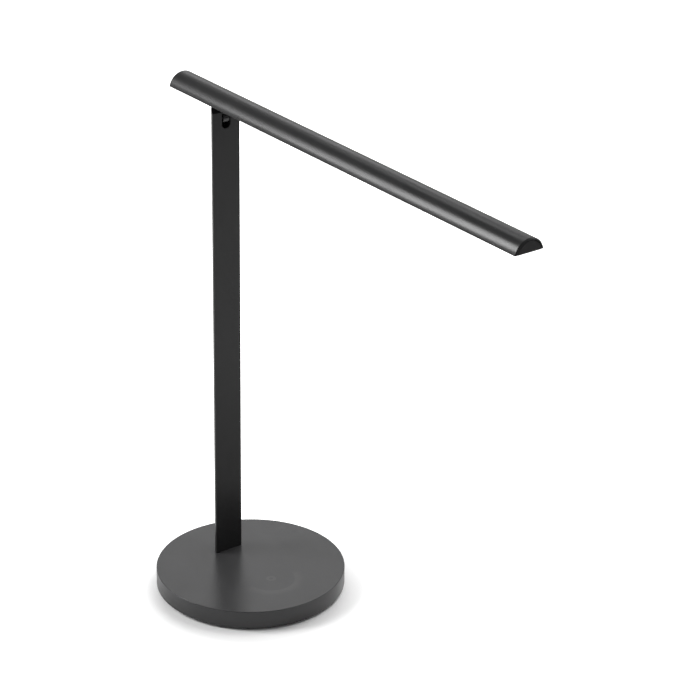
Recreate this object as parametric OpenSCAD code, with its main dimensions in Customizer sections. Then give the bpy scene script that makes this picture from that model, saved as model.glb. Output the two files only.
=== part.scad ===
// Folding LED desk lamp: a round weighted base, an upright D-section stem and a D-section lamp head
// that folds down against the stem on a friction hinge set in the stem's slotted top.
// Millimetres. Origin at the centre of the base's underside, on the table. +Z is up, the head
// reaches forward along -Y, and +X is to the right. Every piece is drawn where it sits in the lamp.

/* [Overall] */
// Height of the lamp with the head level
lamp_h = 432.7; // [360:0.1:520]
// Length of the head, end to end
head_len = 434; // [360:1:500]
// Reach of the head behind the hinge axis
head_rear = 58.4; // [40:0.1:80]

/* [Profile of stem and head] */
// Width of the D profile's flat side, out to where the arc would meet it
profile_w = 26.3; // [23:0.1:32]
// Depth of the D profile, from the flat to the crown of the arc
profile_d = 11.1; // [10.5:0.1:13.5]
// Wall of the extruded profile
profile_wall = 1.3; // [1:0.05:1.6]
// Radius of the two corners beside the flat
profile_corner = 0.4; // [0.3:0.1:1.2]

/* [Base] */
// Diameter of the base
base_d = 160; // [130:1:195]
// Height of the base's top above the table
base_h = 17.5; // [14.5:0.1:22]
// Side wall of the cover
cover_wall = 2.2; // [1.8:0.1:3]
// Top wall of the cover
cover_top = 2.5; // [2.2:0.1:3.2]
// Rounding of the cover's top rim
rim_r = 0.6; // [0.3:0.1:1.2]
// Taper of the cover's lower edge
edge_taper = 1.4; // [0.5:0.1:2.5]
// Gap between the cover's lower edge and the table
base_lift = 1.2; // [0.8:0.1:1.6]
// Thickness of the bottom plate
plate_t = 1.8; // [1.6:0.1:2.5]
// Distance from the base's edge to the foot ring
foot_ring_inset = 12; // [10:1:18]
// Width of the foot ring
foot_ring_w = 12; // [8:1:14]
// Free height between the steel weight and the cover
weight_gap = 2.5; // [1.5:0.1:3.5]
// Distance of the stem's front face behind the base's centre
stem_y = 32.2; // [25:0.1:45]
// Distance of the touch control in front of the base's centre
touch_y = 30; // [28:1:40]

/* [Stem foot] */
// Height of the block in the foot of the stem
foot_block_h = 26; // [22:1:40]
// Thickness of the clamp plate under the cover
clamp_t = 3; // [2:0.5:3.5]
// Half the distance between the two foot screws
foot_screw_x = 6.4; // [6:0.1:7]
// Diameter of the foot screws
foot_screw_d = 4; // [3:0.5:4]

/* [Hinge] */
// Height from the hinge axis to the head's flat underside
pivot_to_head = 11.5; // [10.5:0.1:15]
// Depth of the hinge axis behind the stem's front face
pivot_depth = 4.4; // [4.2:0.1:4.9]
// Width of the slot in the stem's top
slot_w = 8.4; // [7.8:0.1:9.5]
// Depth of the slot's round bottom below the hinge axis
slot_drop = 8.6; // [7.5:0.1:11]
// Room beside the arm's lug, each side, for the washers
hinge_gap = 1.5; // [1.3:0.05:1.8]
// Radius of the lug's round end
lug_r = 4.8; // [4:0.1:4.9]
// Thickness of the arm's neck above the lug
neck_t = 6; // [5:0.5:8]
// Diameter of the hinge pin
pin_d = 4; // [3.6:0.1:4.4]
// Bore through the hinge pin for the lead
pin_bore_d = 2; // [1.8:0.1:2.4]
// Room between each end of the hinge pin and the stem's wall, where the lead turns in
pin_end_room = 3.15; // [2.9:0.05:3.5]
// Thickness of a friction washer
washer_t = 0.7; // [0.4:0.05:0.8]
// Radius of the washers
washer_r = 3; // [2.8:0.1:3.8]
// Strip of a conical spring washer
disc_t = 0.35; // [0.25:0.05:0.4]
// Length of the hinge block's root below the slot
block_root = 18; // [14:1:30]
// Height difference between the stem's rear and front top edges
stem_top_drop = 5.6; // [4:0.1:7]
// Gap between the stem's rear top edge and the head, which rests there as a stop
stop_gap = 0.2; // [0.1:0.05:0.5]

/* [Head inside] */
// Height of the web's underside above the head's flat
web_h = 4.8; // [4.5:0.1:5.2]
// Thickness of the web that carries the light board
web_t = 1.3; // [1:0.1:1.6]
// Width of the two lips that hold the strips below the head
lip_w = 1.5; // [1.2:0.1:3]
// Thickness of the flanges on the diffuser and the rear cover
flange_t = 0.8; // [0.6:0.1:1]
// Distance from the hinge axis forward to the end of the diffuser
diffuser_start = 45; // [35:1:70]
// Length of the hinge arm's saddle
saddle_len = 40; // [34:1:48]
// Spacing of the light sources along the board
led_pitch = 9; // [7:0.5:14]
// Width of the light board
led_board_w = 14; // [10:0.5:15]
// Thickness of the light board
led_board_t = 1; // [0.8:0.1:1.2]
// Thickness of an end cap's face
cap_t = 2; // [1.6:0.1:3]
// Depth of an end cap's plugs behind its face
cap_plug = 8; // [5:1:12]
// Chamfer round the edge of an end cap's face
cap_edge = 0.8; // [0.2:0.1:1.2]
// Chamfer round the ends of the head's profile
end_edge = 1; // [0.2:0.1:1.1]

/* [Power inlet] */
// Width and height of the inlet's body
jack_w = 9; // [8.5:0.1:10]
// Length of the inlet's body
jack_len = 12; // [11:0.5:15]
// Diameter of the inlet's nose in the cover's wall
jack_nose_d = 8; // [7.5:0.1:8.5]
// Bore that takes the plug
jack_bore_d = 6.4; // [5.5:0.1:6.6]
// Depth of that bore
jack_depth = 9.5; // [8:0.5:11]
// Diameter of the centre contact
jack_pin_d = 2; // [1.6:0.1:2.5]

/* [Electronics] */
// Width of the control board
board_w = 56; // [50:1:60]
// Length of the control board
board_l = 40; // [36:1:46]
// Thickness of the control board
board_t = 1.6; // [1:0.1:2]
// Length of the cover's bosses above the control board
board_drop = 3; // [2.5:0.1:4]
// Outer radius of the touch ring
ring_out = 26.5; // [24:0.1:27]
// Inner radius of the touch ring
ring_in = 19; // [14:0.5:21]
// Diameter of the lead in the stem and the head
lead_d = 1.4; // [1:0.1:1.6]

/* [Hidden] */
$fn = 96;
eps = 0.01;
fit = 0.15;           // gap between a fixed insert and its housing
run = 0.05;           // radial running clearance of pins and screws
touch = 0.02;         // gap between stacked washers, and round the pin that is fixed in the lug
small = 32;           // facets of screws and small bores
m2 = 2;               // thread diameters
m3 = 3;
m4 = 4;

// D profile: centre of the crown's arc lies arc_c behind the flat
arc_r = (profile_w * profile_w / 4 + profile_d * profile_d) / (2 * profile_d);
arc_c = arc_r - profile_d;
inner_corner = 0.6;

// heights in the lamp
head_z = lamp_h - profile_d;
pivot_z = head_z - pivot_to_head;
pivot_y = stem_y + pivot_depth;
slot_z = pivot_z - slot_drop;
stem_rear_z = head_z - stop_gap;
stem_front_z = stem_rear_z - stem_top_drop;
stem_rear_y = stem_y + profile_d;
top_slope = atan2(stem_top_drop, profile_d);

// ends of the head
rear_y = pivot_y + head_rear;
front_y = rear_y - head_len;

// base
base_r = base_d / 2;
cover_in_r = base_r - cover_wall;
cover_z = base_h - cover_top;
plate_z = base_lift + plate_t;
foot_ring_t = base_lift + plate_t / 2;
ring_r = base_r - foot_ring_inset;
weight_t = cover_z - weight_gap - plate_z;
boss_r = 3.6;
boss_ring = cover_in_r - 6.3;
boss_rib = 1.6;
base_screw_len = 8;
weight_r = boss_ring - boss_r - 0.9;
weight_edge = 0.6;
weight_rim = 3;
n_bosses = 5;
boss_angles = [for (i = [0:n_bosses - 1]) 54 + i * 360 / n_bosses];
weight_screw_x = board_w / 2 + 8;
weight_screw_y = sqrt(pow(ring_r - foot_ring_w - 6, 2) - pow(weight_screw_x, 2));
ring_edge = 0.4;

// stem foot
clamp_w = 44;
clamp_l = 28;
clamp_under = cover_z - clamp_t;
clearance = 0.3;
foot_screw_y = stem_y + 4.3;
foot_hole_y = stem_y + 4.2;
foot_hole_d = 3.4;
foot_screw_up = 16;
stem_screw_z = base_h + foot_block_h / 2;
hinge_screw_z = slot_z - block_root / 2;
stem_screw_sink = 0.35;
stem_screw_len = 4.5;

// control board and its leads
board_z = cover_z - board_drop;
board_cy = -touch_y;
board_hole_x = board_w / 2 - 3;
board_hole_y = board_l / 2 - 4;
board_under = board_z - board_t;
board_edge_y = board_cy + board_l / 2;
board_boss_r = 2.6;
board_screw_grip = 3.6;
connector_x = 3.6;
connector = [6, 5, 3.4];
coil_d = 8;
coil_h = 4;
coil_groove = [1, 2];
capacitor_d = 6.3;
capacitor_h = board_under - plate_z - 2;
driver_chip = [5, 4, 1.5];
touch_chip = [4, 4, 0.9];
electrode_t = 0.4;
pad_r = 6;
sector_gap = 1.2;
spring_r = 4;
spring_wire = 0.5;
spring_turns = 3;
channel_w = 17;
lead_low_z = plate_z + 2.5;
lead_end_z = board_under - connector[2] / 2;

// inlet
contact_tail = 2;
jack_z = (plate_z + cover_z) / 2;
jack_h = jack_w;
jack_front = cover_in_r - 0.5;
jack_mouth = base_r - 0.35;
jack_rib = 1.5;

// head insides, as heights above the head's flat
lip_open = 2 * (d_half(profile_wall, profile_wall) - lip_w);
seat = 0.1;
flange_top = profile_wall + flange_t;
saddle_h = flange_top + seat;
neck_gap = 0.25;
cap_seam = 0.1;
nut_plate_t = 1.6;
arm_screw_x = d_half(web_h + web_t + nut_plate_t, profile_wall + fit) - m3 / 2 - 0.4;
nut_plate_half = arm_screw_x + m3 / 2 + 1.3;
arm_screw_y = saddle_len / 2 - 6;
cover_start = pivot_y - diffuser_start;
led_start = front_y + cap_t + cap_plug + 1;
led_end = cover_start - 4;
led_margin = 5;
led_count = floor((led_end - led_start - 2 * led_margin) / led_pitch) + 1;
led_first = (led_start + led_end - (led_count - 1) * led_pitch) / 2;
led_size = [3, 3, 0.7];
led_screws = [for (k = [0:3]) led_first + (floor((led_count - 2) * k / 3) + 0.5) * led_pitch];
lug_t = slot_w - 2 * hinge_gap;
pin_half = d_half(pivot_depth, profile_wall) - pin_end_room;
lead_bend = 1.7;
lead_x = -(pin_half + lead_bend - 0.05);

// ---------------------------------------------------------------- shapes used by several pieces

// Half the width of the D profile's inside at height h above the flat, a distance in from the arc
function d_half(h, inset) = sqrt(pow(arc_r - inset, 2) - pow(arc_c + h, 2));

// D section drawn in (x, height above the flat), moved in by inset on every side, with round corners
module d_section(inset = 0, corner = profile_corner) {
    r = arc_r - inset;
    c = arc_c + inset;
    corner_x = sqrt(pow(r - corner, 2) - pow(corner + c, 2));
    turn = atan2(corner + c, corner_x);
    translate([0, inset]) {
        difference() {
            intersection() {
                translate([0, -c]) circle(r = r);
                translate([-r, 0]) square([2 * r, r]);
            }
            for (side = [0, 1]) mirror([side, 0]) polygon([[corner_x, -1], [corner_x, corner],
                [corner_x + 5 * cos(turn), corner + 5 * sin(turn)], [corner_x + 9, -1]]);
        }
        for (side = [-1, 1]) translate([side * corner_x, corner]) circle(r = corner);
    }
}

// The part of that section between two heights above the flat, no wider than half_w each side
module d_band(inset, low, high, half_w = 50) {
    intersection() {
        d_section(inset, inner_corner);
        translate([-half_w, low]) square([2 * half_w, high - low]);
    }
}

// Stands a section upright for the stem: the flat faces forward
module upright(from_z, to_z) {
    translate([0, stem_y, from_z]) linear_extrude(to_z - from_z) children();
}

// Lays a section along the head, its flat down, between two places along Y
module along_head(from_y, to_y) {
    translate([0, to_y, head_z]) rotate([90, 0, 0]) linear_extrude(to_y - from_y) children();
}

// What lies above the stem's slanting top, plus a lift
module above_stem(lift = 0) {
    translate([-50, stem_y, stem_front_z + lift]) rotate([top_slope, 0, 0])
        translate([0, -20, 0]) cube([100, 60, 40]);
}

// The open-topped slot with a round bottom, from y0 to y1
module stem_slot(y0, y1) {
    translate([0, y1, slot_z + slot_w / 2]) rotate([90, 0, 0]) linear_extrude(y1 - y0) {
        circle(d = slot_w);
        translate([-slot_w / 2, 0]) square([slot_w, 60]);
    }
}

// Round bar or bore along X at the hinge axis
module axis_round(r, x0, x1) {
    translate([x0, pivot_y, pivot_z]) rotate([0, 90, 0]) cylinder(r = r, h = x1 - x0, $fn = 64);
}

// Countersunk screw along +Z: its flat head at z = 0 and the shank above it. gap widens it to a hole.
module flat_screw(d, len, gap = 0) {
    head_r = d * 0.93;
    cylinder(r1 = head_r + gap, r2 = d / 2 + gap, h = head_r - d / 2, $fn = small);
    cylinder(r = d / 2 + gap, h = len, $fn = small);
}

// Hole for that screw, open below its head
module flat_screw_hole(d, len) {
    flat_screw(d, len, run);
    translate([0, 0, -3]) cylinder(r = d * 0.93 + run, h = 3 + eps, $fn = small);
}

// Pan-head screw along +Z: the head hangs below z = 0. A cross socket is cut in it.
module pan_screw(d, len, head_d, head_h) {
    difference() {
        union() {
            translate([0, 0, -head_h]) cylinder(d = head_d, h = head_h, $fn = small);
            cylinder(d = d, h = len, $fn = small);
        }
        for (turn = [0, 90]) rotate([0, 0, turn]) translate([-head_d * 0.3, -d * 0.09, -head_h - 1])
            cube([head_d * 0.6, d * 0.18, 1 + head_h * 0.55]);
    }
}

// Unit vector
function unit(v) = v / norm(v);

// Direction of a path at its point i
function path_dir(p, i) = unit(p[min(i + 1, len(p) - 1)] - p[max(i - 1, 0)]);

// Normals carried along a path without twist
function carried(p, i, n) = i >= len(p) ? [] :
    let (t = path_dir(p, i), m = unit(n - (n * t) * t)) concat([m], carried(p, i + 1, m));

// Points of an arc from a to b: start direction u, end direction v, radius r, corner point c
function bend_points(c, u, v, r, steps = 5) =
    [for (k = [0:steps]) let (a = 90 * k / steps) c - u * r * (1 - sin(a)) + v * r * (1 - cos(a))];

// Round lead of diameter d swept along a path of points
module lead(p, d, sides = 8) {
    n0 = abs(path_dir(p, 0) * [0, 0, 1]) < 0.9 ? [0, 0, 1] : [0, 1, 0];
    normals = carried(p, 0, n0);
    rings = [for (i = [0:len(p) - 1]) let (t = path_dir(p, i), n = normals[i], b = cross(t, n))
        for (k = [0:sides - 1]) p[i] + d / 2 * (cos(360 * k / sides) * n + sin(360 * k / sides) * b)];
    last = (len(p) - 1) * sides;
    polyhedron(points = rings, faces = concat(
        [[for (k = [0:sides - 1]) k]],
        [[for (k = [sides - 1:-1:0]) last + k]],
        [for (i = [0:len(p) - 2]) for (k = [0:sides - 1])
            [i * sides + k, (i + 1) * sides + k, (i + 1) * sides + (k + 1) % sides, i * sides + (k + 1) % sides]]));
}

// ---------------------------------------------------------------- base

// Screw bosses of the cover stand at the same places as the screws that close the base
module at_bosses(z) {
    for (a = boss_angles) rotate([0, 0, a]) translate([boss_ring, 0, z]) children();
}

module at_weight_screws(z) {
    for (x = [-weight_screw_x, weight_screw_x]) for (y = [-weight_screw_y, weight_screw_y]) translate([x, y, z]) children();
}

module at_board_holes(z) {
    for (x = [-board_hole_x, board_hole_x]) for (y = [-board_hole_y, board_hole_y])
        translate([x, board_cy + y, z]) children();
}

// Shell of the base: round cup, open below, with bosses for the bottom plate and the control board
module base_cover() color([0.055, 0.055, 0.06]) {
    difference() {
        union() {
            difference() {
                rotate_extrude($fn = 180) {
                    difference() {
                        polygon([[0, base_lift], [base_r - edge_taper, base_lift], [base_r, base_lift + edge_taper],
                            [base_r, base_h], [0, base_h]]);
                        translate([base_r - rim_r, base_h - rim_r]) square(rim_r + 1);
                    }
                    translate([base_r - rim_r, base_h - rim_r]) circle(r = rim_r, $fn = 64);
                }
                translate([0, 0, base_lift - 1]) cylinder(r = cover_in_r, h = cover_z - base_lift + 1, $fn = 180);
            }
            at_bosses(plate_z) {
                cylinder(r = boss_r, h = cover_z - plate_z + eps, $fn = 48);
                translate([0, -boss_rib / 2, 0]) cube([cover_in_r - boss_ring + 0.5, boss_rib, cover_z - plate_z + eps]);
            }
            at_board_holes(board_z) cylinder(r = board_boss_r, h = board_drop + eps, $fn = 48);
            for (side = [0, 1]) mirror([side, 0, 0])
                translate([jack_w / 2 + fit, jack_front - jack_len, jack_z - jack_h / 4])
                    cube([jack_rib, jack_len + 1, cover_z - jack_z + jack_h / 4 + eps]);
            translate([-jack_w / 2, jack_front - jack_len + 1, jack_z + jack_h / 2])
                cube([jack_w, jack_len - 2, cover_z - jack_z - jack_h / 2 + eps]);
        }
        at_bosses(plate_z - 1) cylinder(d = m3 + 2 * run, h = base_screw_len + 1, $fn = small);
        at_board_holes(board_z - 1) cylinder(d = m2 + 2 * run, h = board_screw_grip + 1.3, $fn = small);
        translate([0, jack_front - 2, jack_z]) rotate([-90, 0, 0]) cylinder(d = jack_nose_d + 2 * fit, h = 10, $fn = 64);
        for (x = [-foot_screw_x, foot_screw_x])
            translate([x, foot_screw_y, cover_z - 1]) cylinder(d = foot_screw_d + clearance, h = cover_top + 2, $fn = small);
        translate([0, foot_hole_y, cover_z - 1]) cylinder(d = foot_hole_d, h = cover_top + 2, $fn = small);
    }
}

// Disc that closes the base from below, with a groove for the foot ring and countersunk screw holes
module base_plate() color([0.07, 0.07, 0.075]) {
    difference() {
        union() {
            translate([0, 0, base_lift]) cylinder(r = cover_in_r - fit, h = plate_t, $fn = 180);
            translate([-jack_w / 2, jack_front - jack_len + 1, plate_z - eps])
                cube([jack_w, jack_len - 3, jack_z - jack_h / 2 - plate_z + eps]);
        }
        translate([0, 0, base_lift - 1]) difference() {
            cylinder(r = ring_r + fit, h = 1 + foot_ring_t - base_lift, $fn = 180);
            translate([0, 0, -1]) cylinder(r = ring_r - foot_ring_w - fit, h = 9, $fn = 180);
        }
        at_bosses(base_lift) flat_screw_hole(m3, plate_t + 1);
        at_weight_screws(base_lift) flat_screw_hole(m4, plate_t + 1);
    }
}

// Steel disc that keeps the lamp upright, cut out round the board, the stem's clamp and the inlet
module base_weight() color([0.45, 0.46, 0.48]) {
    translate([0, 0, plate_z]) difference() {
        rotate_extrude($fn = 128) polygon([[0, 0], [weight_r - weight_edge, 0], [weight_r, weight_edge],
            [weight_r, weight_t - weight_edge], [weight_r - weight_edge, weight_t], [0, weight_t]]);
        mirror([0, 1, 0]) weight_room(board_w / 2 + 2, -board_edge_y - 2, board_l / 2 - board_cy + 2);
        weight_room(clamp_w / 2 + 1, foot_screw_y - clamp_l / 2 - 1, foot_screw_y + clamp_l / 2 + 1);
        translate([-channel_w / 2, board_edge_y, -1]) cube([channel_w, weight_r + 10 - board_edge_y, weight_t + 2]);
        at_weight_screws(-1) cylinder(d = m4 + 2 * run, h = weight_t + 2, $fn = small);
    }
}

// Cut-out in the weight from y0 to y1. It runs out through the edge where no sound rim would be left.
module weight_room(half_w, y0, y1) {
    end = norm([half_w, y1]) < weight_r - weight_rim ? y1 : weight_r + 1;
    translate([-half_w, y0, -1]) cube([2 * half_w, end - y0, weight_t + 2]);
}

// Rubber ring under the base that the lamp stands on, its lower edges chamfered
module foot_ring() color([0.03, 0.03, 0.03]) {
    ring_in_r = ring_r - foot_ring_w;
    rotate_extrude($fn = 180) polygon([[ring_in_r + ring_edge, 0], [ring_r - ring_edge, 0], [ring_r, ring_edge],
        [ring_r, foot_ring_t], [ring_in_r, foot_ring_t], [ring_in_r, ring_edge]]);
}

// Screws that hold the bottom plate to the cover's bosses
module base_screws() color([0.55, 0.56, 0.58]) at_bosses(base_lift) flat_screw(m3, base_screw_len);

// Screws that hold the steel weight to the bottom plate
module weight_screws() color([0.55, 0.56, 0.58]) at_weight_screws(base_lift) flat_screw(m4, plate_t + weight_t - 1);

// ---------------------------------------------------------------- control board

// Circuit board under the touch control
module control_board() color([0.05, 0.3, 0.14]) {
    difference() {
        translate([-board_w / 2, board_cy - board_l / 2, board_under]) cube([board_w, board_l, board_t]);
        at_board_holes(board_under - 1) cylinder(d = m2 + 4 * run, h = board_t + 2, $fn = small);
    }
}

// Parts soldered under the board: coil, capacitor, two chips and the two lead connectors
module board_parts() color([0.12, 0.12, 0.13]) {
    translate([-board_w / 4, board_cy - 6, board_under - coil_h]) difference() {
        cylinder(d = coil_d, h = coil_h, $fn = 48);
        translate([0, 0, (coil_h - coil_groove[1]) / 2]) difference() {
            cylinder(d = coil_d + 2, h = coil_groove[1], $fn = 48);
            cylinder(d = coil_d - 2 * coil_groove[0], h = coil_groove[1], $fn = 48);
        }
    }
    translate([board_w / 6, board_cy - 8, board_under - capacitor_h]) cylinder(d = capacitor_d, h = capacitor_h, $fn = 48);
    translate([-3, board_cy - 10, board_under - driver_chip[2]]) cube(driver_chip);
    translate([-2, board_cy + 2, board_under - touch_chip[2]]) cube(touch_chip);
    for (x = [-connector_x, connector_x])
        translate([x - connector[0] / 2, board_edge_y - connector[1], board_under - connector[2]]) difference() {
            cube(connector);
            translate([connector[0] / 2, connector[1] + 1, connector[2] / 2]) rotate([90, 0, 0])
                cylinder(d = lead_d + 0.8, h = 4, $fn = small);
        }
}

// Screws that hold the board to the cover
module board_screws() color([0.6, 0.6, 0.62]) at_board_holes(board_under) pan_screw(m2, board_t + board_screw_grip, 3.6, 1.3);

// Copper foil under the cover's top: a ring in four sectors for dimming round a centre pad
module touch_electrode() color([0.72, 0.42, 0.22]) {
    difference() {
        translate([0, board_cy, cover_z - electrode_t]) linear_extrude(electrode_t) {
            difference() {
                circle(r = ring_out);
                circle(r = ring_in);
                for (a = [0, 90]) rotate(45 + a) square([2 * ring_out + 2, sector_gap], center = true);
            }
            circle(r = pad_r);
        }
        at_board_holes(board_z) cylinder(r = board_boss_r + fit, h = board_drop + 1, $fn = 48);
        at_bosses(plate_z) cylinder(r = boss_r + fit, h = cover_z, $fn = 48);
    }
}

// Coil spring that joins the board to the centre pad
module touch_spring() color([0.75, 0.6, 0.35]) {
    per_turn = 12;
    steps = spring_turns * per_turn;
    rise = board_drop - electrode_t - spring_wire;
    lead([for (i = [0:steps]) let (a = 360 * i / per_turn) [spring_r * cos(a), board_cy + spring_r * sin(a),
        board_z + spring_wire / 2 + rise * i / steps]], spring_wire, 6);
}

// ---------------------------------------------------------------- power inlet

// Inlet body with its round nose in the cover's wall, bored for the plug
module dc_jack() color([0.03, 0.03, 0.035]) {
    difference() {
        union() {
            translate([-jack_w / 2, jack_front - jack_len, jack_z - jack_h / 2]) cube([jack_w, jack_len, jack_h]);
            translate([0, jack_front - eps, jack_z]) rotate([-90, 0, 0])
                cylinder(d = jack_nose_d, h = jack_mouth - jack_front + eps, $fn = 64);
        }
        translate([0, jack_mouth - jack_depth, jack_z]) rotate([-90, 0, 0]) cylinder(d = jack_bore_d, h = jack_depth + 1, $fn = 64);
        translate([0, jack_front - jack_len - 1, jack_z]) rotate([-90, 0, 0])
            cylinder(d = jack_pin_d + 2 * run, h = jack_len, $fn = small);
    }
}

// Centre contact of the inlet with its solder tail, and the sleeve's solder tab
module jack_contacts() color([0.8, 0.74, 0.55]) {
    back = jack_front - jack_len;
    translate([0, back - contact_tail, jack_z]) rotate([-90, 0, 0])
        cylinder(d = jack_pin_d, h = jack_mouth - 0.8 - back + contact_tail, $fn = small);
    translate([-jack_w / 2 + 1, back - 0.4, jack_z - jack_h / 2 + 0.8]) cube([jack_w - 2, 0.4, 1.8]);
}

// Lead from the inlet to the control board, below the stem's clamp
module jack_lead() color([0.02, 0.02, 0.02]) {
    start_y = jack_front - jack_len - contact_tail - 0.1;
    lead([[0, start_y, jack_z], [0, start_y - 3, jack_z - 0.4], [0.6, start_y - 6, (jack_z + lead_low_z) / 2],
        [1.8, start_y - 10, lead_low_z], [connector_x, start_y - 16, lead_low_z],
        [connector_x, board_edge_y + 18, lead_low_z], [connector_x, board_edge_y + 12, lead_low_z + 0.4],
        [connector_x, board_edge_y + 6, lead_end_z - 0.6], [connector_x, board_edge_y + 3, lead_end_z],
        [connector_x, board_edge_y - 2, lead_end_z]], lead_d);
}

// ---------------------------------------------------------------- stem

// Steel plate under the cover that the stem's foot is clamped through
module foot_clamp() color([0.5, 0.51, 0.53]) {
    translate([0, 0, clamp_under]) difference() {
        translate([-clamp_w / 2, foot_screw_y - clamp_l / 2, 0]) cube([clamp_w, clamp_l, clamp_t]);
        for (x = [-foot_screw_x, foot_screw_x])
            translate([x, foot_screw_y, -1]) cylinder(d = foot_screw_d + clearance, h = clamp_t + 2, $fn = small);
        translate([0, foot_hole_y, -1]) cylinder(d = foot_hole_d, h = clamp_t + 2, $fn = small);
    }
}

// Two screws from below the clamp plate up into the foot block
module foot_screws() color([0.55, 0.56, 0.58]) {
    for (x = [-foot_screw_x, foot_screw_x]) translate([x, foot_screw_y, clamp_under])
        pan_screw(foot_screw_d, clamp_t + cover_top + foot_screw_up, 1.75 * foot_screw_d, 2.4);
}

// D-section block in the stem's foot, bored for the two screws and the lead
module foot_block() color([0.4, 0.41, 0.43]) {
    difference() {
        upright(base_h, base_h + foot_block_h) d_section(profile_wall + fit, inner_corner);
        for (x = [-foot_screw_x, foot_screw_x]) translate([x, foot_screw_y, base_h - 1])
            cylinder(d = foot_screw_d + 2 * run, h = foot_screw_up + 3, $fn = small);
        translate([0, foot_hole_y, base_h - 1]) cylinder(d = foot_hole_d, h = foot_block_h + 2, $fn = small);
        rear_screw_place(stem_screw_z) flat_screw_hole(m3, stem_screw_len + 0.2);
    }
}

// Rear screws lie along -Y, their flat heads just below the crown of the stem
module rear_screw_place(z) {
    translate([0, stem_rear_y - stem_screw_sink, z]) rotate([90, 45, 0]) children();
}

// Extruded stem: slotted at the front of its slanting top
module stem_tube() color([0.045, 0.045, 0.05]) {
    difference() {
        upright(base_h, head_z) difference() {
            d_section();
            d_section(profile_wall, inner_corner);
        }
        above_stem();
        stem_slot(stem_y - 5, pivot_y);
        for (z = [stem_screw_z, hinge_screw_z]) rear_screw_place(z) flat_screw_hole(m3, stem_screw_len);
    }
}

// Countersunk screws behind the stem: one in the foot block, one in the hinge block
module stem_screws() color([0.08, 0.08, 0.085]) {
    for (z = [stem_screw_z, hinge_screw_z]) rear_screw_place(z) flat_screw(m3, stem_screw_len);
}

// Lead from the control board up the stem and into the left end of the hollow hinge pin
module stem_lead() color([0.02, 0.02, 0.02]) {
    up = [0, 0, 1];
    block_top = base_h + foot_block_h;
    lead(concat(
        [[-connector_x, board_edge_y - 2, lead_end_z], [-connector_x, board_edge_y + 3, lead_end_z],
        [-connector_x, board_edge_y + 6, lead_end_z - 0.6], [-connector_x, board_edge_y + 12, lead_low_z + 0.4],
        [-connector_x, board_edge_y + 18, lead_low_z], [-connector_x, foot_hole_y - 16, lead_low_z],
        [-connector_x + 1, foot_hole_y - 8.4, lead_low_z + 0.3],
        [-1.4, foot_hole_y - 3, (lead_low_z + clamp_under) / 2 - 1],
        [-0.3, foot_hole_y - 0.5, clamp_under - 2], [0, foot_hole_y, clamp_under + 1.5],
        [0, foot_hole_y, block_top + 4], [lead_x / 3, foot_hole_y, block_top + 22],
        [lead_x, pivot_y, block_top + 50], [lead_x, pivot_y, slot_z - block_root - 20]],
        bend_points([lead_x, pivot_y, pivot_z], up, [1, 0, 0], lead_bend),
        [[-lead_bend - 0.1, pivot_y, pivot_z]]), lead_d);
}

// ---------------------------------------------------------------- hinge

// Fork in the stem's top: a D-section root and two ears bored for the pin, grooved for the lead
module hinge_block() color([0.06, 0.06, 0.065]) {
    difference() {
        upright(slot_z - block_root, head_z) d_section(profile_wall + fit, inner_corner);
        above_stem(-0.2);
        stem_slot(stem_y, stem_rear_y);
        axis_round(pin_d / 2 + run, -profile_w / 2, profile_w / 2);
        translate([lead_x, pivot_y, slot_z - block_root - 1])
            cylinder(d = lead_d + 0.8, h = pivot_z - slot_z + block_root + 1, $fn = small);
        rear_screw_place(hinge_screw_z) flat_screw_hole(m3, stem_screw_len + 0.2);
    }
}

// Flat washers beside the lug
module friction_washers() color([0.3, 0.3, 0.31]) {
    for (side = [0, 1]) mirror([side, 0, 0]) difference() {
        axis_round(washer_r, lug_t / 2 + touch, lug_t / 2 + touch + washer_t);
        axis_round(pin_d / 2 + run, 0, slot_w);
    }
}

// Conical spring washers between the flat washers and the ears
module spring_washers() color([0.5, 0.5, 0.5]) {
    inner = lug_t / 2 + washer_t + 2 * touch;
    cone = slot_w / 2 - touch - inner - disc_t;
    for (side = [0, 1]) mirror([side, 0, 0]) translate([inner, pivot_y, pivot_z]) rotate([0, 90, 0])
        rotate_extrude($fn = 64) polygon([[pin_d / 2 + run, cone], [washer_r, 0], [washer_r, disc_t],
            [pin_d / 2 + run, cone + disc_t]]);
}

// Hollow pin, fixed in the lug, with a window where the lead leaves it
module hinge_pin() color([0.6, 0.61, 0.63]) {
    difference() {
        axis_round(pin_d / 2, -pin_half, pin_half);
        axis_round(pin_bore_d / 2, -pin_half - 1, pin_half + 1);
        translate([-0.1, pivot_y, pivot_z]) cylinder(d = pin_bore_d + 0.2, h = pin_d, $fn = small);
    }
}

// Arm that joins the head to the stem: a round lug, a neck and a saddle that sits under the web
module hinge_arm() color([0.07, 0.07, 0.075]) {
    difference() {
        union() {
            axis_round(lug_r, -lug_t / 2, lug_t / 2);
            translate([-lug_t / 2, pivot_y - neck_t / 2, pivot_z]) cube([lug_t, neck_t, pivot_to_head + saddle_h + eps]);
            along_head(pivot_y - saddle_len / 2, pivot_y + saddle_len / 2) d_band(profile_wall + fit, saddle_h, web_h);
        }
        axis_round(pin_d / 2 + touch, -lug_t, lug_t);
        translate([0, pivot_y, pivot_z]) cylinder(d = pin_bore_d + 0.2, h = pivot_to_head + web_h + 1, $fn = small);
        translate([-pin_bore_d / 2 - 0.1, pivot_y - saddle_len, head_z + web_h - 2])
            cube([pin_bore_d + 0.2, saddle_len, 3]);
        at_arm_screws(saddle_h) flat_screw_hole(m3, web_h);
    }
}

module at_arm_screws(h) {
    for (x = [-arm_screw_x, arm_screw_x]) for (y = [-arm_screw_y, arm_screw_y])
        translate([x, pivot_y + y, head_z + h]) children();
}

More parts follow.
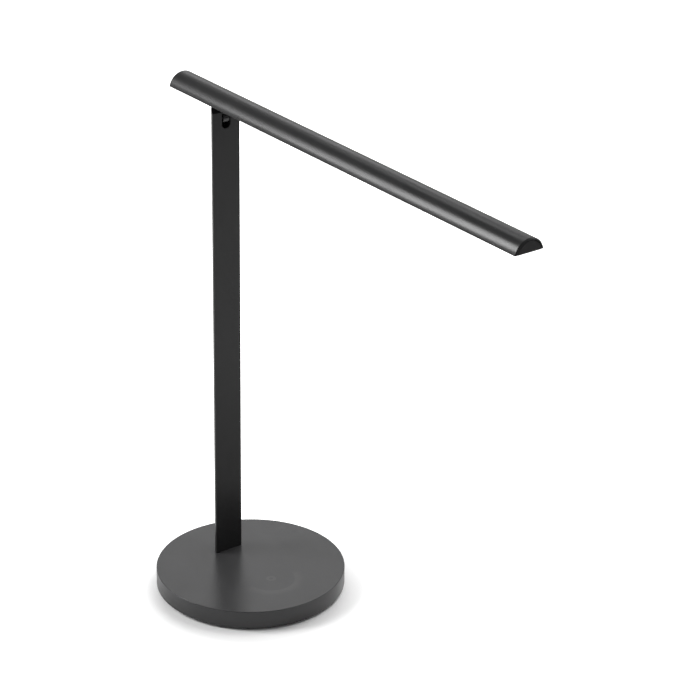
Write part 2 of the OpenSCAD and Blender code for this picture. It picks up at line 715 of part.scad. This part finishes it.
// Screws that hold the saddle to the nut plate above the web
module arm_screws() color([0.55, 0.56, 0.58]) at_arm_screws(saddle_h)
    flat_screw(m3, web_h + web_t + nut_plate_t - saddle_h - 0.1);

// Threaded plate above the web
module arm_nut_plate() color([0.5, 0.51, 0.53]) {
    difference() {
        along_head(pivot_y - saddle_len / 2, pivot_y + saddle_len / 2)
            d_band(profile_wall + fit, web_h + web_t, web_h + web_t + nut_plate_t, nut_plate_half);
        at_arm_screws(web_h) cylinder(d = m3 + 2 * run, h = 9, $fn = small);
    }
}

// ---------------------------------------------------------------- head

// Extruded head: D-shaped shell with an inner web and two lips beside the opening below.
// The web and the lips are milled back at both ends for the caps.
module head_shell() color([0.045, 0.045, 0.05]) {
    difference() {
        along_head(front_y, rear_y) {
            difference() {
                d_section();
                d_section(profile_wall, inner_corner);
                translate([-lip_open / 2, -1]) square([lip_open, profile_wall + 1.5]);
            }
            d_band(profile_wall / 2, web_h, web_h + web_t);
        }
        for (y = [front_y - 1, rear_y - cap_t]) along_head(y, y + cap_t + 1) d_section(profile_wall, inner_corner);
        translate([0, front_y, head_z]) end_chamfer();
        translate([0, rear_y, head_z]) mirror([0, 1, 0]) end_chamfer();
        at_arm_screws(web_h - 1) cylinder(d = m3 + clearance, h = web_t + 2, $fn = small);
        at_led_screws(web_h - 1) cylinder(d = m2 + 2 * run, h = web_t + 2, $fn = small);
    }
}

// Cutter that chamfers an end of the profile. The end lies at y = 0 and the profile towards +Y.
module end_chamfer() {
    translate([0, 0, -arc_c]) rotate([-90, 0, 0]) difference() {
        translate([0, 0, -1]) cylinder(r = arc_r + 3, h = end_edge + 2, $fn = 180);
        translate([0, 0, -2]) cylinder(r1 = arc_r - end_edge - 2, r2 = arc_r + 2, h = end_edge + 4, $fn = 180);
    }
    translate([-profile_w, 0, 0]) rotate([90, 0, 90]) linear_extrude(2 * profile_w)
        polygon([[-1, -2], [end_edge + 2, -2], [-1, end_edge + 1]]);
}

module at_led_screws(h) {
    for (y = led_screws) translate([0, y, head_z + h]) children();
}

// Aluminium-core light board under the web
module led_board() color([0.9, 0.9, 0.88]) {
    difference() {
        translate([-led_board_w / 2, led_start, head_z + web_h - led_board_t])
            cube([led_board_w, led_end - led_start, led_board_t]);
        at_led_screws(web_h - led_board_t - 1) cylinder(d = m2 + 4 * run, h = led_board_t + 2, $fn = small);
    }
}

// Row of light sources under the board
module leds() color([0.98, 0.9, 0.55]) {
    for (i = [0:led_count - 1])
        translate([-led_size[0] / 2, led_first + i * led_pitch - led_size[1] / 2, head_z + web_h - led_board_t - led_size[2]])
            cube(led_size);
}

// Screws that hold the light board to the web
module led_screws() color([0.6, 0.6, 0.62])
    at_led_screws(web_h - led_board_t) pan_screw(m2, led_board_t + web_t + 1.2, 3.4, 1);

// Strip with a flange each side that lies on the profile's lips
module lip_strip() {
    translate([-lip_open / 2 + seat, 0]) square([lip_open - 2 * seat, profile_wall + seat]);
    d_band(profile_wall + seat, 0, flange_top, d_half(flange_top, profile_wall) - 3 * seat);
}

// Opal strip that spreads the light
module diffuser() color([0.93, 0.93, 0.9])
    along_head(front_y + cap_t + 0.05, cover_start) lip_strip();

// Strip that closes the head's underside behind the diffuser, cut out round the arm's neck
module rear_cover() color([0.05, 0.05, 0.055]) {
    difference() {
        along_head(cover_start + 0.1, rear_y - cap_t - 0.05) lip_strip();
        translate([-lug_t / 2 - neck_gap, pivot_y - neck_t / 2 - neck_gap, head_z - 1])
            cube([lug_t + 2 * neck_gap, neck_t + 2 * neck_gap, 5]);
    }
}

// End cap: a face inside the rim of the shell, chamfered round its edge, and two plugs, one each side
// of the web. Drawn with its face at y = 0 and its plugs towards +Y.
module end_cap() {
    translate([0, cap_t, head_z]) rotate([90, 0, 0]) {
        intersection() {
            linear_extrude(cap_t) cap_face();
            translate([0, -arc_c, 0]) cap_taper(arc_r - profile_wall - cap_seam);
            translate([-profile_w, 0, 0]) rotate([90, 0, 90]) linear_extrude(2 * profile_w)
                polygon([[-1, -1], [profile_d, -1], [profile_d, cap_t], [cap_edge, cap_t], [0, cap_t - cap_edge],
                    [0, -1]]);
        }
        translate([0, 0, -cap_plug]) linear_extrude(cap_plug + eps) {
            d_band(profile_wall + fit, web_h + web_t + cap_seam, profile_d);
            d_band(profile_wall + fit, flange_top + fit, web_h - cap_seam);
        }
    }
}

// Round plate whose far edge is chamfered
module cap_taper(r) {
    cylinder(r = r, h = cap_t - cap_edge, $fn = 180);
    translate([0, 0, cap_t - cap_edge]) cylinder(r1 = r, r2 = r - cap_edge, h = cap_edge, $fn = 180);
}

// Outline of an end cap's face: the inside of the shell, and the gap between its lips
module cap_face() {
    d_section(profile_wall + cap_seam, inner_corner);
    translate([-lip_open / 2 + cap_seam, 0]) square([lip_open - 2 * cap_seam, profile_wall + 1]);
}

module front_cap() color([0.05, 0.05, 0.055]) translate([0, front_y, 0]) end_cap();

module rear_cap() color([0.05, 0.05, 0.055]) translate([0, rear_y, 0]) mirror([0, 1, 0]) end_cap();

// Lead from inside the hinge pin up the arm's neck and forward to the light board
module head_lead() color([0.02, 0.02, 0.02]) {
    up = [0, 0, 1];
    forward = [0, -1, 0];
    top_z = head_z + web_h - 1.1;
    board_low = head_z + web_h - led_board_t - lead_d / 2 - 0.02;
    lead(concat(
        bend_points([0, pivot_y, pivot_z], [1, 0, 0], up, lead_bend),
        bend_points([0, pivot_y, top_z], up, forward, lead_bend),
        [[0, pivot_y - saddle_len / 2, top_z], [0, cover_start + 6, top_z], [0, cover_start + 1, board_low],
        [0, led_end - 2, board_low]]), lead_d);
}

base_cover();
base_plate();
base_weight();
foot_ring();
base_screws();
weight_screws();
control_board();
board_parts();
board_screws();
touch_electrode();
touch_spring();
dc_jack();
jack_contacts();
jack_lead();
foot_clamp();
foot_screws();
foot_block();
stem_tube();
stem_screws();
stem_lead();
hinge_block();
friction_washers();
spring_washers();
hinge_pin();
hinge_arm();
arm_screws();
arm_nut_plate();
head_shell();
led_board();
leds();
led_screws();
diffuser();
rear_cover();
front_cap();
rear_cap();
head_lead();
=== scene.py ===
import math

import bpy
import numpy as np
from mathutils import Matrix

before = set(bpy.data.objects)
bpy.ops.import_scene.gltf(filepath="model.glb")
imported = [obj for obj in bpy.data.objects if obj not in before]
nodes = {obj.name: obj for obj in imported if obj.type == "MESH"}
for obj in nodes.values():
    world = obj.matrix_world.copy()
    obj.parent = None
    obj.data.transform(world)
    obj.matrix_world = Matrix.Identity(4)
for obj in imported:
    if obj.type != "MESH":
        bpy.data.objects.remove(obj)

scene = bpy.context.scene
mm = 0.001
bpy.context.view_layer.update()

WHITE = (1, 1, 1, 1)

# Studio paper: its colour, the grey of the painted shade it shows in reflections, and its roughness.
PAPER_WHITE = (0.9, 0.9, 0.9, 1)
PAPER_SHADE_GREY = (0.1, 0.1, 0.1, 1)
PAPER_ROUGHNESS = 0.9

# The table and the backdrop behind it, in metres.
SHEET_HALF_WIDTH = 6.0
TABLE_FRONT, TABLE_BACK = -6.0, 2.4
BACKDROP_DEPTH, BACKDROP_HEIGHT, BACKDROP_STEPS = 1.4, 2.75, 24
BACKDROP_MIRRORED_GLOW = 0.2

# Round patches of the table: centre, distance from it where the patch ends, distance where it is full.
TABLE_SEEN_GLOW = ((-15 * mm, -20 * mm, 0.0), 72 * mm, 155 * mm)
# The dark patch is painted shade, seen only in reflections.
TABLE_SHADE_PATCH, SHADE_PATCH_DEPTH = ((130 * mm, -150 * mm, 0.0), 120 * mm, 30 * mm), 0.9
# The light patch is painted light, seen only in reflections.
TABLE_LIGHT_PATCH, LIGHT_PATCH_GLOW = ((55 * mm, -82 * mm, 0.0), 60 * mm, 20 * mm), 0.35

# Painted shade that only reflections see: where the table starts to darken and where it is
# darkest, in metres.
SHADE_CORNER_X, SHADE_CORNER_Y = (-0.25, -0.6), (0.15, 0.45)
SHADE_FRONT_Y = (-0.75, -1.45)

# Strength of the white surround as a light, and as the camera sees it.
SURROUND_LIGHT, SURROUND_SEEN = 0.3, 1.0

# Area lights: place, point that it faces, width and height in metres, power in watts.
SOFTBOXES = {
    "overhead": ((1.65, 0.1, 2.1), (0, -0.1, 0.2), (2.0, 2.0), 46),
    "left_rear": ((-1.32, 1.05, 1.25), (0, -0.2, 0.43), (0.74, 0.94), 33),
    "right_rear": ((0.54, 1.25, 2.1), (0, -0.33, 0.43), (0.6, 0.5), 2.3),
    "far_right": ((1.75, 2.53, 1.78), (0, 0, 0.1), (2.2, 0.6), 3.3),
    "far_right_middle": ((1.75, 2.41, 1.75), (0, 0, 0.1), (0.8, 0.6), 1.8),
}

# Values of a noise at which a finish has its least and its most roughness.
NOISE_LOW, NOISE_HIGH = 0.3, 0.7

# Satin black paint: size of its fine grain and of its blotches, in grains to the metre, the height and
# strength of the grain's bump, and the blotches' darkest and lightest shade as parts of the colour.
PEEL_SCALE, BLOTCH_SCALE = 2600, 40
PEEL_HEIGHT, PEEL_STRENGTH = 0.02 * mm, 0.25
BLOTCH_DARK, BLOTCH_LIGHT = (0.9, 0.9, 0.93), (1.15, 1.15, 1.18)

# Bump of the other finishes.
GRAIN_HEIGHT, GRAIN_STRENGTH = 0.03 * mm, 0.3

# Satin blacks: colour, least and most roughness, refractive index, stretch of the grain, nodes.
EVEN = (1, 1, 1)
ALONG_STEM, ALONG_HEAD = (1, 1, 0.15), (1, 0.15, 1)
SATIN_BLACKS = {
    "stem_finish": (0.016, (0.33, 0.39), 1.4, ALONG_STEM, ["stem_tube", "hinge_block"]),
    "head_finish": (0.012, (0.28, 0.33), 1.4, ALONG_HEAD, ["head_shell"]),
    "arm_finish": (0.012, (0.15, 0.2), 1.5, EVEN, ["hinge_arm"]),
    "cap_finish": (0.012, (0.28, 0.33), 1.4, EVEN, ["front_cap", "rear_cap"]),
    "trim_finish": (0.012, (0.4, 0.5), 1.4, EVEN, ["rear_cover", "base_plate", "dc_jack"]),
}
COVER_BLACK = (0.036, (0.29, 0.33), 1.4, EVEN)

# The touch mark on the base cover, with a painted highlight on the front half of its broad ring:
# centre, inner and outer radius of each ring, the colour of the ink and highlight, how much of it the
# broad ring has, and the lengths over which the edges fade.
MARK_CENTRE = (0.0, -30 * mm, 0.0)
BROAD_RING, SMALL_RING = (19.5 * mm, 28.5 * mm), (1.6 * mm, 4.3 * mm)
MARK_INK_AND_HIGHLIGHT, BROAD_RING_HIGHLIGHT = (0.052, 0.052, 0.053, 1), 0.75
OUTER_FADE, INNER_FADE, END_FADE, SMALL_FADE = 6 * mm, 1 * mm, 5 * mm, 0.25 * mm

# Other finishes: darkest and lightest colour, least and most roughness, grains to the metre, how
# metallic, nodes.
PLAIN_FINISHES = {
    "opal": ((0.86, 0.86, 0.83), (0.9, 0.9, 0.88), (0.35, 0.45), 300, 0.0, ["diffuser"]),
    "rubber": ((0.012, 0.012, 0.012), (0.022, 0.022, 0.022), (0.75, 0.9), 900, 0.0, ["foot_ring"]),
    "lead_sleeve": ((0.01, 0.01, 0.01), (0.018, 0.018, 0.018), (0.4, 0.55), 900, 0.0,
                    ["stem_lead", "jack_lead", "head_lead"]),
    "bright_steel": ((0.5, 0.5, 0.52), (0.62, 0.62, 0.64), (0.25, 0.4), 1200, 1.0,
                     ["base_screws", "weight_screws", "board_screws", "foot_screws", "arm_screws",
                      "led_screws", "hinge_pin", "spring_washers"]),
    "plain_steel": ((0.32, 0.32, 0.33), (0.45, 0.45, 0.46), (0.4, 0.55), 500, 1.0,
                    ["base_weight", "foot_clamp", "arm_nut_plate"]),
    "cast_alloy": ((0.35, 0.35, 0.36), (0.45, 0.45, 0.46), (0.45, 0.6), 700, 1.0, ["foot_block"]),
    "black_screw": ((0.02, 0.02, 0.022), (0.035, 0.035, 0.04), (0.35, 0.5), 900, 0.5, ["stem_screws"]),
    "friction_plastic": ((0.012, 0.012, 0.012), (0.02, 0.02, 0.021), (0.5, 0.6), 700, 0.0,
                         ["friction_washers"]),
    "board_mask": ((0.015, 0.14, 0.05), (0.02, 0.18, 0.07), (0.3, 0.4), 600, 0.0, ["control_board"]),
    "component_black": ((0.02, 0.02, 0.02), (0.05, 0.05, 0.05), (0.4, 0.6), 800, 0.0, ["board_parts"]),
    "copper_foil": ((0.6, 0.25, 0.12), (0.75, 0.36, 0.2), (0.25, 0.4), 500, 1.0, ["touch_electrode"]),
    "spring_bronze": ((0.6, 0.42, 0.2), (0.7, 0.52, 0.28), (0.25, 0.35), 900, 1.0, ["touch_spring"]),
    "tinned_contact": ((0.6, 0.52, 0.32), (0.72, 0.64, 0.42), (0.25, 0.35), 900, 1.0,
                       ["jack_contacts"]),
    "white_mask": ((0.8, 0.8, 0.78), (0.88, 0.88, 0.86), (0.3, 0.4), 500, 0.0, ["led_board"]),
    "phosphor": ((0.8, 0.6, 0.1), (0.9, 0.72, 0.2), (0.2, 0.3), 900, 0.0, ["leds"]),
}


# ---------------------------------------------------------------- node building

def new_material(name):
    """An empty node material with its shader and output; returns material, node tree and shader."""
    material = bpy.data.materials.new(name)
    material.use_nodes = True
    tree = material.node_tree
    return material, tree, tree.nodes["Principled BSDF"]


def feed(tree, socket, value):
    """Links a socket to another node's output, or sets it to a plain number or colour."""
    if isinstance(value, bpy.types.NodeSocket):
        tree.links.new(value, socket)
    else:
        socket.default_value = value


def object_point(tree):
    """Object coordinates, in metres."""
    return tree.nodes.new("ShaderNodeTexCoord").outputs["Object"]


def joined(tree, operation, first, second):
    """Joins two values with a Math operation."""
    node = tree.nodes.new("ShaderNodeMath")
    node.operation = operation
    feed(tree, node.inputs[0], first)
    feed(tree, node.inputs[1], second)
    return node.outputs[0]


def ramp(tree, value, start, end, low=0.0, high=1.0):
    """Maps a value of start to end on to low to high, held at both ends."""
    node = tree.nodes.new("ShaderNodeMapRange")
    for name, limit in {"From Min": start, "From Max": end, "To Min": low, "To Max": high}.items():
        node.inputs[name].default_value = limit
    tree.links.new(value, node.inputs["Value"])
    return node.outputs["Result"]


def blended(tree, factor, first, second):
    """Blends from a first colour to a second by a factor of 0 to 1."""
    node = tree.nodes.new("ShaderNodeMix")
    node.data_type = "RGBA"
    feed(tree, node.inputs["A"], first)
    feed(tree, node.inputs["B"], second)
    tree.links.new(factor, node.inputs["Factor"])
    return node.outputs["Result"]


def distance(tree, point, centre):
    """Distance of a point from a centre."""
    node = tree.nodes.new("ShaderNodeVectorMath")
    node.operation = "DISTANCE"
    tree.links.new(point, node.inputs[0])
    node.inputs[1].default_value = centre
    return node.outputs["Value"]


def patch(tree, point, centre, end, full):
    """Round patch: 0 at the distance end from its centre, 1 at the distance full, graded between."""
    return ramp(tree, distance(tree, point, centre), end, full)


def scaled(tree, point, scale):
    """A point with each coordinate multiplied by its own factor."""
    node = tree.nodes.new("ShaderNodeMapping")
    node.inputs["Scale"].default_value = scale
    tree.links.new(point, node.inputs["Vector"])
    return node.outputs["Vector"]


def coordinates(tree, point):
    """The x, y and z of a point."""
    node = tree.nodes.new("ShaderNodeSeparateXYZ")
    tree.links.new(point, node.inputs["Vector"])
    return node.outputs


def noise(tree, scale, detail=2.0, stretch=EVEN):
    """Noise of scale grains to the metre; a stretch below 1 along an axis makes them longer there."""
    texture = tree.nodes.new("ShaderNodeTexNoise")
    texture.inputs["Scale"].default_value = scale
    texture.inputs["Detail"].default_value = detail
    tree.links.new(scaled(tree, object_point(tree), stretch), texture.inputs["Vector"])
    return texture.outputs["Fac"]


def bumped(tree, shader, value, height, strength):
    """Bump of a height in metres from a value."""
    node = tree.nodes.new("ShaderNodeBump")
    node.inputs["Distance"].default_value = height
    node.inputs["Strength"].default_value = strength
    tree.links.new(value, node.inputs["Height"])
    tree.links.new(node.outputs["Normal"], shader.inputs["Normal"])


# ---------------------------------------------------------------- camera, table and lights

def standing(right, up, back, place):
    """Matrix that stands a camera or a light at place, its own x, y and z along right, up and back."""
    return Matrix([[right[i], up[i], back[i], place[i]] for i in range(3)] + [[0, 0, 0, 1]])


def place_camera(azimuth=-37.35, elevation=24.98, roll=0.845, distance=2.2416,
                 across=-0.08477, above=-0.1981, lens=134.98, sensor=36.0):
    """Camera looking at the lamp from its front left and above. Lens and sensor are in millimetres.

    back = (sin a cos e, -cos a cos e, sin e) points from the lamp to the camera. right and up are level
    and upright axes beside it, turned by the roll. The camera stands at back * distance - right * across
    - up * above and looks along -back.
    """
    a, e, r = map(math.radians, (azimuth, elevation, roll))
    back = np.array([math.sin(a) * math.cos(e), -math.cos(a) * math.cos(e), math.sin(e)])
    level = np.array([math.cos(a), math.sin(a), 0.0])
    upright = np.cross(back, level)
    right = math.cos(r) * level + math.sin(r) * upright
    up = -math.sin(r) * level + math.cos(r) * upright
    data = bpy.data.cameras.new("camera")
    data.sensor_width = sensor
    data.lens = lens
    data.clip_start, data.clip_end = 0.05, 50.0
    camera = bpy.data.objects.new("camera", data)
    scene.collection.objects.link(camera)
    camera.matrix_world = standing(right, up, back, back * distance - right * across - up * above)
    scene.camera = camera


def mesh_object(name, vertices, faces):
    """A smooth mesh object from arrays of points and faces, linked to the scene, at the origin."""
    mesh = bpy.data.meshes.new(name)
    mesh.from_pydata(np.asarray(vertices, float).tolist(), [], [list(map(int, f)) for f in faces])
    mesh.update()
    mesh.shade_smooth()
    piece = bpy.data.objects.new(name, mesh)
    scene.collection.objects.link(piece)
    return piece


def paper(name):
    """Matt white paper; returns material, tree, shader and two values.

    The first value is 1 where the camera sees the paper, the second where something reflects it.
    """
    material, tree, shader = new_material(name)
    shader.inputs["Base Color"].default_value = PAPER_WHITE
    shader.inputs["Roughness"].default_value = PAPER_ROUGHNESS
    shader.inputs["Specular IOR Level"].default_value = 0.0
    shader.inputs["Emission Color"].default_value = WHITE
    rays = tree.nodes.new("ShaderNodeLightPath").outputs
    return material, tree, shader, rays["Is Camera Ray"], rays["Is Glossy Ray"]


def table_paper():
    """The table's paper, with a glow that only the camera sees and places that only reflections see.

    It glows to the camera from a little way round the base outwards, so the base keeps a narrow
    shadow that is broadest at the front. In reflections it carries painted shade, grey towards the
    left rear corner, towards the front and in a patch right and ahead of the base, and painted light,
    a glow close by the base's right front.
    """
    material, tree, shader, seen, mirrored = paper("table_paper")
    point = object_point(tree)
    place = coordinates(tree, point)
    # Painted shade, seen only in reflections: grey towards the left rear corner, the front and ahead.
    corner = joined(tree, "MULTIPLY", ramp(tree, place["X"], *SHADE_CORNER_X),
                    ramp(tree, place["Y"], *SHADE_CORNER_Y))
    grey = joined(tree, "MAXIMUM", corner, ramp(tree, place["Y"], *SHADE_FRONT_Y))
    ahead = joined(tree, "MULTIPLY", patch(tree, point, *TABLE_SHADE_PATCH), SHADE_PATCH_DEPTH)
    grey = joined(tree, "MAXIMUM", grey, ahead)
    grey = joined(tree, "MULTIPLY", grey, mirrored)
    tree.links.new(blended(tree, grey, PAPER_WHITE, PAPER_SHADE_GREY), shader.inputs["Base Color"])
    seen_glow = joined(tree, "MULTIPLY", seen, patch(tree, point, *TABLE_SEEN_GLOW))
    # Painted light: a glow beside the base's right front that only reflections see.
    beside = joined(tree, "MULTIPLY", patch(tree, point, *TABLE_LIGHT_PATCH), LIGHT_PATCH_GLOW)
    glow = joined(tree, "ADD", seen_glow, joined(tree, "MULTIPLY", beside, mirrored))
    tree.links.new(glow, shader.inputs["Emission Strength"])
    return material


def backdrop_paper():
    """The backdrop's paper, which glows fully to the camera and a little in reflections."""
    material, tree, shader, seen, mirrored = paper("backdrop_paper")
    glow = joined(tree, "ADD", seen, joined(tree, "MULTIPLY", mirrored, BACKDROP_MIRRORED_GLOW))
    tree.links.new(glow, shader.inputs["Emission Strength"])
    return material


def white_studio():
    """White table, and behind it a white backdrop that curves up from the table's far edge.

    The table is level from TABLE_FRONT to TABLE_BACK. The backdrop's section is a quarter ellipse,
    y = TABLE_BACK + depth * sin t and z = height * (1 - cos t). Both sections are carried along X.
    """
    x = np.array([-SHEET_HALF_WIDTH, SHEET_HALF_WIDTH])
    t = np.linspace(0, np.pi / 2, BACKDROP_STEPS + 1)
    curve = (TABLE_BACK + BACKDROP_DEPTH * np.sin(t), BACKDROP_HEIGHT * (1 - np.cos(t)))
    sheets = {
        "table": (np.array([TABLE_FRONT, TABLE_BACK]), np.zeros(2), table_paper()),
        "backdrop": (*curve, backdrop_paper()),
    }
    for name, (y, z, material) in sheets.items():
        n = len(y)
        grid = np.stack([np.repeat(x, n), np.tile(y, 2), np.tile(z, 2)], 1)
        sheet = mesh_object(name, grid, [(i, n + i, n + i + 1, i + 1) for i in range(n - 1)])
        sheet.data.materials.append(material)


def softbox(name, place, target, size, power):
    """Rectangular area light at place that faces target, unseen by the camera."""
    data = bpy.data.lights.new(name, "AREA")
    data.shape = "RECTANGLE"
    data.size, data.size_y = size
    data.energy = power
    lamp = bpy.data.objects.new(name, data)
    lamp.visible_camera = False
    scene.collection.objects.link(lamp)
    back = np.array(place, float) - np.array(target, float)
    back /= np.linalg.norm(back)
    side = np.cross([0, 0, 1], back)
    side /= np.linalg.norm(side)
    lamp.matrix_world = standing(side, np.cross(back, side), back, place)


def light_studio():
    """Five softboxes and a white surround that is dimmer as a light than to the camera.

    overhead lights everything from the upper right. left_rear makes the bright band along the head,
    right_rear lightens the head's top, and the two at the far right are what the base's top reflects.
    """
    for name, box in SOFTBOXES.items():
        softbox(name, *box)
    world = bpy.data.worlds.new("surround")
    world.use_nodes = True
    tree = world.node_tree
    background = tree.nodes["Background"]
    background.inputs["Color"].default_value = WHITE
    seen = tree.nodes.new("ShaderNodeLightPath").outputs["Is Camera Ray"]
    strength = ramp(tree, seen, 0.0, 1.0, SURROUND_LIGHT, SURROUND_SEEN)
    tree.links.new(strength, background.inputs["Strength"])
    scene.world = world
    scene.view_settings.view_transform = "Standard"


# ---------------------------------------------------------------- finishes

def satin_black(name, colour, rough, ior, stretch):
    """Satin black paint: fine orange-peel bump, faint blotches in colour and gloss."""
    material, tree, shader = new_material(name)
    fine = noise(tree, PEEL_SCALE, stretch=stretch)
    broad = noise(tree, BLOTCH_SCALE, detail=3.0)
    dark, light = ((*(colour * part for part in shade), 1) for shade in (BLOTCH_DARK, BLOTCH_LIGHT))
    tree.links.new(blended(tree, broad, dark, light), shader.inputs["Base Color"])
    tree.links.new(ramp(tree, broad, NOISE_LOW, NOISE_HIGH, *rough), shader.inputs["Roughness"])
    shader.inputs["IOR"].default_value = ior
    bumped(tree, shader, fine, PEEL_HEIGHT, PEEL_STRENGTH)
    return material


def ring(tree, radius, inner, outer, inner_fade, outer_fade):
    """Ring that fades in outwards from its inner radius, and out towards its outer one."""
    return joined(tree, "MULTIPLY", ramp(tree, radius, inner, inner + inner_fade),
                  ramp(tree, radius, outer, outer - outer_fade))


def cover_paint():
    """The base cover's satin black with the touch mark printed on it in a dark grey.

    The mark is a small ring and the front half of a broad ring about one centre, in front of the stem.
    The broad ring's lighter front half is a painted highlight, where the ring catches the light.
    It is drawn from the distance r = |(x, y) - centre|. The broad ring's two ends fade out where y
    reaches the centre's.
    """
    material = satin_black("cover_finish", *COVER_BLACK)
    tree = material.node_tree
    colour = tree.nodes["Principled BSDF"].inputs["Base Color"]
    point = object_point(tree)
    r = distance(tree, scaled(tree, point, (1, 1, 0)), MARK_CENTRE)
    # Only the broad ring's front half is drawn: painted highlight where the ring catches the light.
    front = ramp(tree, coordinates(tree, point)["Y"], MARK_CENTRE[1], MARK_CENTRE[1] - END_FADE)
    broad = joined(tree, "MULTIPLY", ring(tree, r, *BROAD_RING, INNER_FADE, OUTER_FADE), front)
    small = ring(tree, r, *SMALL_RING, SMALL_FADE, SMALL_FADE)
    # Print of the small ring together with the painted highlight of the broad ring.
    ink_and_highlight = joined(tree, "MAXIMUM", joined(tree, "MULTIPLY", broad, BROAD_RING_HIGHLIGHT), small)
    paint = colour.links[0].from_socket
    tree.links.new(blended(tree, ink_and_highlight, paint, MARK_INK_AND_HIGHLIGHT), colour)
    return material


def plain(name, low, high, rough, scale, metal):
    """A material whose colour, gloss and bump all follow one noise."""
    material, tree, shader = new_material(name)
    value = noise(tree, scale, detail=3.0)
    tree.links.new(blended(tree, value, (*low, 1), (*high, 1)), shader.inputs["Base Color"])
    tree.links.new(ramp(tree, value, NOISE_LOW, NOISE_HIGH, *rough), shader.inputs["Roughness"])
    shader.inputs["Metallic"].default_value = metal
    bumped(tree, shader, value, GRAIN_HEIGHT, GRAIN_STRENGTH)
    return material


def dress(material, names):
    """Gives CAD nodes a material in place of the one they came with."""
    for name in names:
        materials = nodes[name].data.materials
        materials.clear()
        materials.append(material)


def dress_all():
    """Materials of every node, by the finish of the real piece."""
    dress(cover_paint(), ["base_cover"])
    for name, (*look, names) in SATIN_BLACKS.items():
        dress(satin_black(name, *look), names)
    for name, (*look, names) in PLAIN_FINISHES.items():
        dress(plain(name, *look), names)


place_camera()
white_studio()
light_studio()
dress_all()
